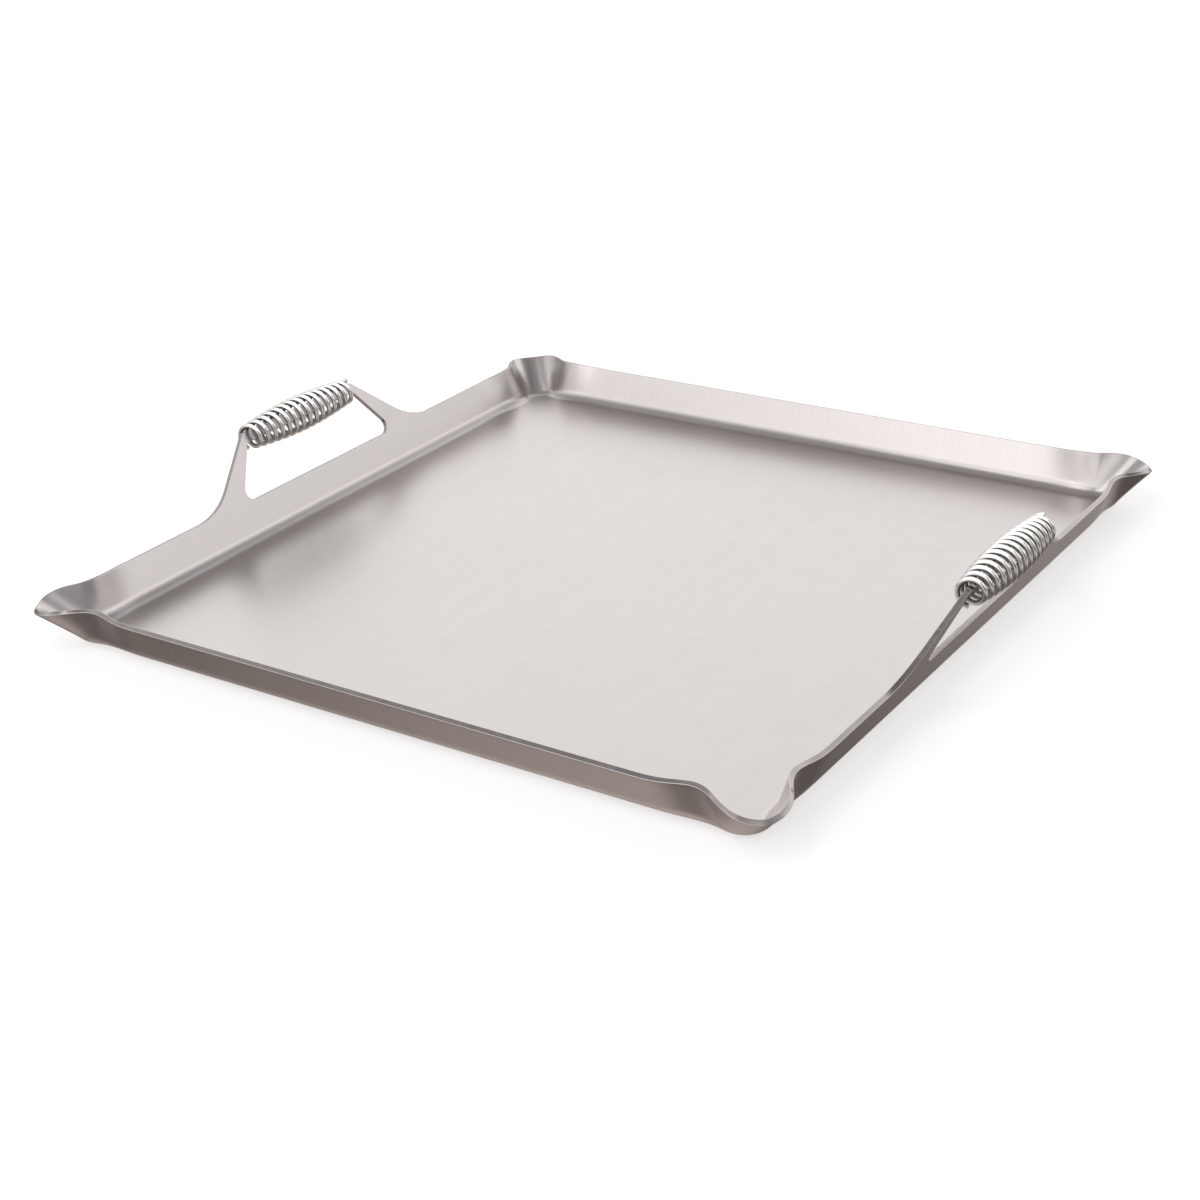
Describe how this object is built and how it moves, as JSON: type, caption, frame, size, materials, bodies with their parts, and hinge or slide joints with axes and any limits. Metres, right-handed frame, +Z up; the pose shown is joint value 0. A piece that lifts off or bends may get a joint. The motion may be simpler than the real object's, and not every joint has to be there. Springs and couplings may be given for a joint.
{
  "type": "drop-on griddle pan",
  "caption": "Wide shallow steel griddle pan with flared walls, pinched pouring corners and two upright side handles wound with barrel-shaped wire coil grips.",
  "frame": {"origin": "on the underside of the pan, at the middle of the floor", "axes": "+Z up; the two handles stand at -X (left) and +X (right); the plain walls are at -Y (front) and +Y (rear)"},
  "size_m": [0.6622, 0.637, 0.089],
  "materials": {
    "brushed_sheet": "satin steel sheet with a fine one-way grain",
    "bright_wire": "bright plated round wire"
  },
  "bodies": {
    "pan": {"griddle_pan": "brushed_sheet"},
    "left_grip": {"left_coil_grip": "bright_wire"},
    "right_grip": {"right_coil_grip": "bright_wire"}
  },
  "joints": [
    {"name": "left_grip_spin", "type": "hinge", "parent": "pan", "child": "left_grip", "pos_m": [-0.31613, 0, 0.07396], "axis": [0, 1, 0], "continuous": true},
    {"name": "right_grip_spin", "type": "hinge", "parent": "pan", "child": "right_grip", "pos_m": [0.31613, 0, 0.07396], "axis": [0, 1, 0], "continuous": true}
  ]
}
